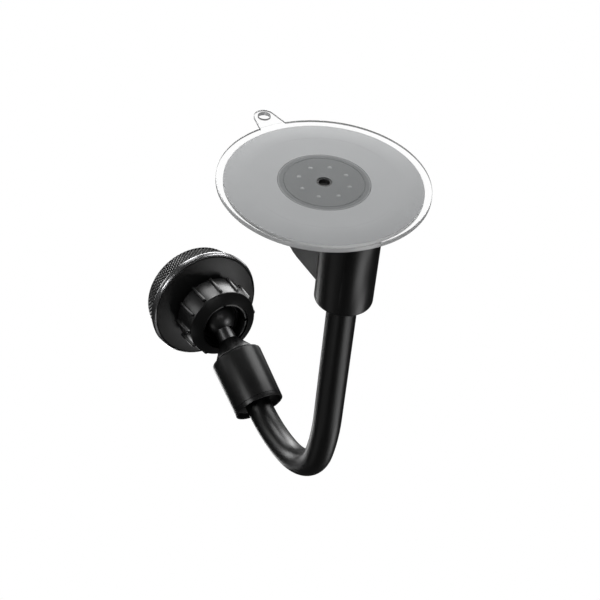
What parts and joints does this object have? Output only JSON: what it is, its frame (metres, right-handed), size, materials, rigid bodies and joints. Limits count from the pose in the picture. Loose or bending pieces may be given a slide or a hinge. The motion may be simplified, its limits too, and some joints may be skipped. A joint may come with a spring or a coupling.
{
  "type": "car phone mount",
  "caption": "Suction phone mount: gel suction base with a cam lever, bendable gooseneck arm, and a round magnetic head on a ball joint with a ribbed lock nut.",
  "frame": {"origin": "centre of the suction face, on the face that seals against the glass", "axes": "+Z out of the suction face towards the glass, +X towards the pull tab, arm hanging below in the XZ plane"},
  "size_m": [0.1435, 0.08, 0.1561],
  "materials": {
    "gel": "clear sticky gel",
    "silicone": "smooth grey silicone",
    "stem_plastic": "moulded",
    "black_plastic": "satin black",
    "sleeve": "smooth satin black",
    "steel": "zinc plated",
    "stud": "gloss black",
    "seat_nylon": "moulded nylon",
    "trim": "bright cut edge",
    "bezel": "knurled, black anodised",
    "magnet": "nickel plated",
    "pad": "soft matte black"
  },
  "bodies": {
    "base": {"gel_pad": "gel", "suction_cup": "silicone", "base_housing": "black_plastic", "cam_plate": "steel", "return_spring": "steel", "root_ferrule": "steel", "neck_screw": "steel", "arm_sleeve_1": "sleeve", "arm_core_1": "steel"},
    "stem": {"pull_stem": "stem_plastic", "lever_pin": "steel"},
    "lever": {"locking_lever": "black_plastic"},
    "arm_2": {"arm_sleeve_2": "sleeve", "arm_core_2": "steel"},
    "arm_3": {"arm_sleeve_3": "sleeve", "arm_core_3": "steel"},
    "arm_4": {"arm_sleeve_4": "sleeve", "arm_core_4": "steel"},
    "arm_5": {"arm_sleeve_5": "sleeve", "arm_core_5": "steel"},
    "arm_6": {"arm_sleeve_6": "sleeve", "arm_core_6": "steel"},
    "arm_7": {"arm_sleeve_7": "sleeve", "arm_core_7": "steel"},
    "tip": {"arm_sleeve_8": "sleeve", "arm_core_8": "steel", "tip_ferrule": "steel", "collar": "black_plastic"},
    "stud": {"ball_stud": "stud"},
    "seat": {"ball_seat": "seat_nylon"},
    "head": {"socket_collet": "black_plastic", "back_plate": "black_plastic", "trim_ring": "trim", "knurled_bezel": "bezel", "yoke_plate": "steel", "yoke_screw_1": "steel", "yoke_screw_2": "steel", "yoke_screw_3": "steel", "magnet_1": "magnet", "magnet_2": "magnet", "magnet_3": "magnet", "magnet_4": "magnet", "magnet_5": "magnet", "magnet_6": "magnet", "front_plate": "steel", "face_pad": "pad"},
    "nut": {"lock_nut": "black_plastic"}
  },
  "joints": [
    {"name": "stem_pull", "type": "slide", "parent": "base", "child": "stem", "axis": [0, 0, -1], "range_m": [0, 0.0024], "deforming": ["return_spring"]},
    {"name": "lever_swing", "type": "hinge", "parent": "stem", "child": "lever", "pos_m": [0, 0, -0.0255], "axis": [0, 1, 0], "range_deg": [0, 90]},
    {"name": "arm_curl_1", "type": "hinge", "parent": "base", "child": "arm_2", "pos_m": [-0.02157, 0, -0.052], "axis": [0.0035, -1, 0], "range_deg": [-28, 12]},
    {"name": "arm_sway_2", "type": "hinge", "parent": "arm_2", "child": "arm_3", "pos_m": [-0.02157, 0, -0.07254], "axis": [1, 0.0035, 0], "range_deg": [-25, 25]},
    {"name": "arm_curl_3", "type": "hinge", "parent": "arm_3", "child": "arm_4", "pos_m": [-0.02157, 0, -0.09307], "axis": [0.0035, -1, 0], "range_deg": [-28, 12]},
    {"name": "arm_sway_4", "type": "hinge", "parent": "arm_4", "child": "arm_5", "pos_m": [-0.02097, 0, -0.11358], "axis": [0.994, 0.0035, 0.1092], "range_deg": [-25, 25]},
    {"name": "arm_curl_5", "type": "hinge", "parent": "arm_5", "child": "arm_6", "pos_m": [-0.01601, 0, -0.13339], "axis": [0.0031, -1, 0.0017], "range_deg": [-28, 12]},
    {"name": "arm_sway_6", "type": "hinge", "parent": "arm_6", "child": "arm_7", "pos_m": [-0.00104, 0, -0.14685], "axis": [0.3794, 0.0035, 0.9252], "range_deg": [-25, 25]},
    {"name": "arm_curl_7", "type": "hinge", "parent": "arm_7", "child": "tip", "pos_m": [0.01918, 0, -0.1489], "axis": [-0.0004, -1, 0.0035], "range_deg": [-28, 12]},
    {"name": "stud_swivel", "type": "hinge", "parent": "tip", "child": "stud", "pos_m": [0.07559, 0, -0.12741], "axis": [0.924, 0, 0.3824], "continuous": true},
    {"name": "ball_tilt", "type": "hinge", "parent": "stud", "child": "seat", "pos_m": [0.07559, 0, -0.12741], "axis": [0, 1, 0], "range_deg": [-62.2, 0.4]},
    {"name": "head_roll", "type": "hinge", "parent": "seat", "child": "head", "pos_m": [0.07559, 0, -0.12741], "axis": [0.9892, 0, -0.1464], "continuous": true},
    {"name": "nut_turn", "type": "hinge", "parent": "head", "child": "nut", "pos_m": [0.07559, 0, -0.12741], "axis": [0.9892, 0, -0.1464], "range_deg": [-150, 0]}
  ],
  "couplings": [
    {"joint": "stem_pull", "follows": "lever_swing", "m_per_rad": 0.0015278}
  ]
}
